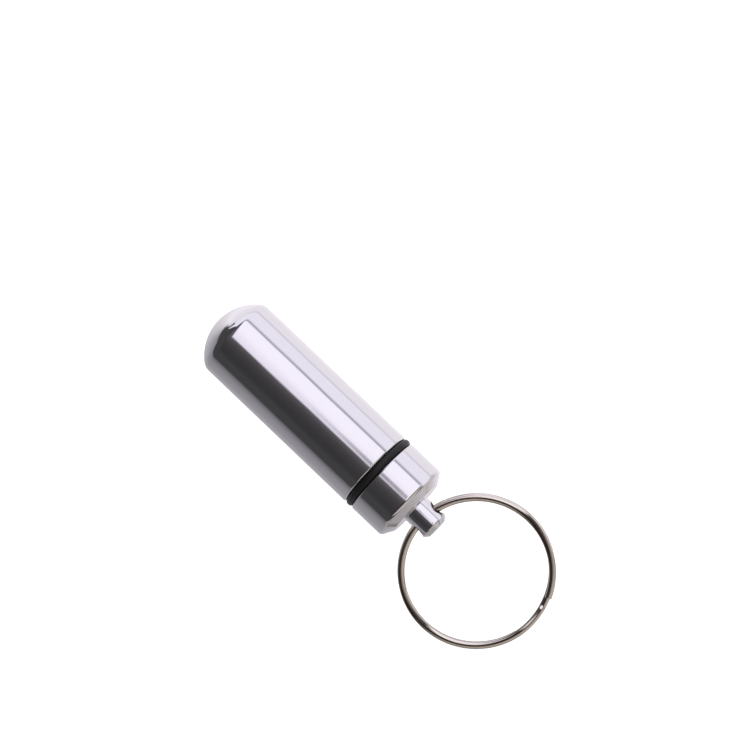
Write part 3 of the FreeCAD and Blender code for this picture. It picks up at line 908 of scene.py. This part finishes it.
# %% Paper beyond the dome
DARK = (0.052, 0.051, 0.054, 1)
SHADE_SLANT = 0.09
SHADE_X, SHADE_Y = (-0.115, -0.085), (-0.012, 0.004)


def rising(tree, value, span):
    """0 before a span of values, 1 after it, and even between."""
    return ranged(tree, value, *span, 0, 1)


def falling(tree, value, span):
    """1 before a span of values, 0 after it, and even between."""
    return ranged(tree, value, *span, 1, 0)


def slanted(tree, axes, slant):
    """The value y - slant x, which is the same all along a slanted line."""
    node = tree.nodes.new("ShaderNodeMath")
    node.operation = "MULTIPLY_ADD"
    tree.links.new(axes["X"], node.inputs[0])
    node.inputs[1].default_value = -slant
    tree.links.new(axes["Y"], node.inputs[2])
    return node.outputs["Value"]


shade = shader_node(tree, "ShaderNodeEmission", Color=DARK, Strength=1.0)
beyond_dome = falling(tree, axes["X"], SHADE_X)
near_side = falling(tree, slanted(tree, axes, -SHADE_SLANT), SHADE_Y)
paper = mixed(tree, combined(tree, "MULTIPLY", beyond_dome, near_side), paper, shade)
print(f"paper is dark before x {SHADE_X[0]} m on the near side")

# %% Paper by the ring and far away
# painted shade: mirrors see the paper by the ring and far away as a darker, warmer glow
RING_PAPER = [
    (-0.040, 0.300, 0.285, 0.290),
    (-0.004, 0.380, 0.360, 0.370),
    (0.010, 0.560, 0.530, 0.540),
    (0.100, 0.600, 0.570, 0.575),
]
FAR_PAPER = (0.52, 0.475, 0.455, 1)
RING_PAPER_X, FAR_PAPER_X = (0.008, 0.020), (0.08, 0.20)


def surfaced(tree, shader):
    """Makes a shader the surface of its material."""
    tree.links.new(shader.outputs[0], tree.nodes["Material Output"].inputs["Surface"])


paper = mixed(tree, rising(tree, axes["X"], RING_PAPER_X), paper, glow(tree, axes["Y"], RING_PAPER))
far = shader_node(tree, "ShaderNodeEmission", Color=FAR_PAPER, Strength=1.0)
paper = mixed(tree, rising(tree, axes["X"], FAR_PAPER_X), paper, far)
surfaced(tree, mixed(tree, rays.outputs["Is Glossy Ray"], seen, paper))
print(f"ring's paper from x {RING_PAPER_X[1]} m, far paper from {FAR_PAPER_X[1]} m")

# %% [markdown]
# ## Overhead card
#
# A mirror shows its surroundings, so the look of the barrel is decided by what hangs over it. In a
# product studio those are cards. A panorama picture could stand for them, but it is hard to steer and
# lies infinitely far away, while a card at its real distance is seen shifted from each part of the fob.
# The card overhead is bright, which gives the broad band along the barrel, and its slanted near edge
# gives way to the dark room. Only mirrors see it.

# %% Overhead card
OVERHEAD = 0.5
CARD_TOP, CARD_END = 56.3, 41.7
CARD_NEAR, CARD_FAR_X = -1.2, 6


def mirror_card(name, corners):
    """The node tree of a flat card that is hidden from everything but mirror reflections."""
    shown, tree = flat(name, corners)
    shown.visible_camera = False
    shown.visible_diffuse = False
    shown.visible_shadow = False
    return tree


card_top = OVERHEAD * math.tan(math.radians(CARD_TOP))
card_end = -OVERHEAD * math.tan(math.radians(CARD_END))
card_z = AXIS_Z + OVERHEAD
tree = mirror_card("overhead card", [
    (card_end, CARD_NEAR, card_z),
    (CARD_FAR_X, CARD_NEAR, card_z),
    (CARD_FAR_X, card_top, card_z),
    (card_end, card_top, card_z),
])
axes = place_axes(tree)
print(f"overhead card from x {card_end:.2f} m, up to y {card_top:.2f} m")

# %% The bright band and the dark room
EDGE_SLANT, END_SLANT = 0.32, -2.0
EDGE_SPAN, END_SPAN = (-0.0886, -0.0486), (-0.40, -0.32)
NEAR_GLOW = [
    (-1.100, 0.046, 0.045, 0.047),
    (-0.700, 0.037, 0.036, 0.038),
    (-0.500, 0.041, 0.039, 0.041),
    (-0.385, 0.047, 0.044, 0.047),
    (-0.280, 0.055, 0.051, 0.055),
    (-0.210, 0.067, 0.063, 0.068),
    (-0.150, 0.088, 0.083, 0.090),
    (-0.110, 0.105, 0.099, 0.108),
]
BRIGHT = [
    (-0.080, 0.86, 0.81, 0.93),
    (0.020, 0.90, 0.85, 0.97),
    (0.150, 1.00, 0.95, 1.06),
    (0.510, 1.00, 0.96, 1.06),
    (0.555, 0.42, 0.40, 0.47),
    (0.610, 0.40, 0.38, 0.45),
    (0.660, 0.56, 0.54, 0.62),
    (0.750, 0.85, 0.82, 0.92),
]

past_edge = rising(tree, slanted(tree, axes, EDGE_SLANT), EDGE_SPAN)
past_end = rising(tree, slanted(tree, axes, END_SLANT), END_SPAN)
near = glow(tree, axes["Y"], NEAR_GLOW)
bright = glow(tree, axes["Y"], BRIGHT)
card = mixed(tree, combined(tree, "MULTIPLY", past_edge, past_end), near, bright)
print(f"bright band graded in {len(BRIGHT)} stops, dark room in {len(NEAR_GLOW)}")

# %% [markdown]
# ### Streak, ring zone and warm side
#
# Three more things show in the metal. A dark streak lies in the band, faint at the barrel's middle and
# deeper towards the cap, as a lamp's arm would make it. Over the ring the card is whiter and falls off to
# black on the near side, which gives the wire its sharp white lines. Past that, beyond a dark gap, the
# room has a warm side, seen by slopes that face along the barrel. Each could be a card of its own, but
# cards that overlap hide one another, so they are zones of the same card.

# %% Zones of the overhead card
STREAK_NEAR, STREAK_FAR = (-0.068, -0.043), (0.008, 0.046)
STREAK_START, STREAK_STOP, STREAK_DEPTH = (-0.071, -0.040), (-0.023, -0.019), 0.75
RING_X, WARM_X = (0.03, 0.05), (0.150, 0.195)
RING_GLOW = [(-0.110, 0.018, 0.015, 0.014), (-0.040, 1.05, 1.05, 1.08)]
WARM_SIDE = [
    (0.228, 0.012, 0.010, 0.009),
    (0.290, 0.185, 0.161, 0.145),
    (0.430, 0.435, 0.384, 0.358),
    (1.200, 0.580, 0.520, 0.490),
]

streak = rising(tree, axes["Y"], STREAK_NEAR)
for border in (
    falling(tree, axes["Y"], STREAK_FAR),
    ranged(tree, axes["X"], *STREAK_START, 0, STREAK_DEPTH),
    falling(tree, axes["X"], STREAK_STOP),
):
    streak = combined(tree, "MULTIPLY", streak, border)
card = mixed(tree, streak, card, near)
card = mixed(tree, rising(tree, axes["X"], RING_X), card, glow(tree, axes["Y"], RING_GLOW))
card = mixed(tree, rising(tree, axes["X"], WARM_X), card, glow(tree, axes["X"], WARM_SIDE))
surfaced(tree, card)
print(f"ring zone from x {RING_X[1]} m, warm side from {WARM_X[1]} m")

# %% [markdown]
# ## Lilac wall and corner card
#
# Beyond the fob stands a pale lilac wall, which gives the cool band at the barrel's upper edge. It
# reaches a little past the far edge of the overhead card, so that no dark gap shows between them. At the
# card's end there is such a gap, a thin one, and past it a corner card of the same lilac fills what the
# dome sees there. One bent sheet could be both, but two flat cards are easier to place.

# %% Lilac cards
LILAC = (0.86, 0.83, 0.93, 1)
BEYOND, WALL_OVERLAP = 0.6, 0.5
WALL_LEFT, WALL_RIGHT = -2.4, 0.7
CORNER_GAP, CORNER_CUT, CORNER_NEAR, CORNER_LEFT = 0.012, 0.13, 0.2, -12


def lilac_card(name, corners):
    """A card of even lilac glow that only mirrors see."""
    tree = mirror_card(name, corners)
    surfaced(tree, shader_node(tree, "ShaderNodeEmission", Color=LILAC, Strength=1.0))


wall_y = AXIS_Y + BEYOND
wall_top = AXIS_Z + BEYOND * math.tan(math.radians(90 + WALL_OVERLAP - CARD_TOP))
lilac_card("pale wall", [
    (WALL_LEFT, wall_y, 0),
    (WALL_RIGHT, wall_y, 0),
    (WALL_RIGHT, wall_y, wall_top),
    (WALL_LEFT, wall_y, wall_top),
])
lilac_card("corner card", [
    (card_end - CORNER_GAP, card_top, card_z),
    (card_end - CORNER_CUT, CORNER_NEAR, card_z),
    (CORNER_LEFT, CORNER_NEAR, card_z),
    (CORNER_LEFT, card_top, card_z),
])
print(f"wall {wall_top:.2f} m high, corner card past x {card_end - CORNER_GAP:.2f} m")

# %% [markdown]
# ## Room and soft box
#
# The light itself comes from one soft box above and from the room. A sun lamp would throw a hard shadow,
# but the fob lies in the soft one of a wide lamp close by. The soft box is hidden from the camera and
# from mirrors, since the cards already say what the metal shows. Its power is pi times its area, which
# makes its face as bright as a card with a glow of 1. The room is white to the camera, dark to mirrors,
# and a plain grey for everything else.

# %% Room
FILL = (0.55, 0.55, 0.56, 1)

world = bpy.data.worlds.new("room")
bpy.context.scene.world = world
world.use_nodes = True
tree = world.node_tree
rays = tree.nodes.new("ShaderNodeLightPath")
fill = tree.nodes["Background"]
fill.inputs["Color"].default_value = FILL
dark = shader_node(tree, "ShaderNodeBackground", Color=DARK)
white = shader_node(tree, "ShaderNodeBackground", Color=WHITE)
room = mixed(tree, rays.outputs["Is Glossy Ray"], fill, dark)
room = mixed(tree, rays.outputs["Is Camera Ray"], room, white)
tree.links.new(room.outputs[0], tree.nodes["World Output"].inputs["Surface"])
print("room fill", FILL[:3])

# %% Soft box
BOX_LENGTH, BOX_WIDTH = 0.9, 0.75
BOX_ASIDE, BOX_ABOVE = 0.2, 0.1

light = bpy.data.lights.new("soft box", "AREA")
light.shape = "RECTANGLE"
light.size, light.size_y = BOX_LENGTH, BOX_WIDTH
light.energy = math.pi * light.size * light.size_y
soft_box = bpy.data.objects.new("soft box", light)
soft_box.location = (0, AXIS_Y + BOX_ASIDE, card_z + BOX_ABOVE)
soft_box.visible_camera = False
soft_box.visible_glossy = False
bpy.context.scene.collection.objects.link(soft_box)
print(f"soft box {light.energy:.2f} W")

# %% [markdown]
# ## Camera
#
# The camera looks down from almost straight above, turned so that the barrel runs across the picture from
# the upper left to the lower right. A short lens close by would also show the whole fob, but its sides
# would run together. A long lens keeps them nearly parallel.

# %% Camera
from mathutils import Vector

AZIMUTH, ELEVATION = math.radians(43.81), math.radians(81.2)
TARGET_ALONG, TARGET_ASIDE = 22.28 * MM, 11.15 * MM
TARGET = Vector((DOME_TIP + TARGET_ALONG, AXIS_Y + TARGET_ASIDE, AXIS_Z))
DISTANCE, LENS = 570 * MM, 173.56
CLIP_START, CLIP_END = 0.01, 20

camera = bpy.data.cameras.new("camera")
camera.lens = LENS
camera.clip_start, camera.clip_end = CLIP_START, CLIP_END
level = math.cos(ELEVATION)
back = Vector((math.sin(AZIMUTH) * level, -math.cos(AZIMUTH) * level, math.sin(ELEVATION)))
holder = bpy.data.objects.new("camera", camera)
holder.location = TARGET + back * DISTANCE
holder.rotation_euler = (-back).to_track_quat("-Z", "Y").to_euler()
bpy.context.scene.collection.objects.link(holder)
bpy.context.scene.camera = holder
bpy.context.scene.view_settings.view_transform = "Standard"
print("camera at", [round(value, 3) for value in holder.location])

# %% [markdown]
# ## End

# %% Import json
import json
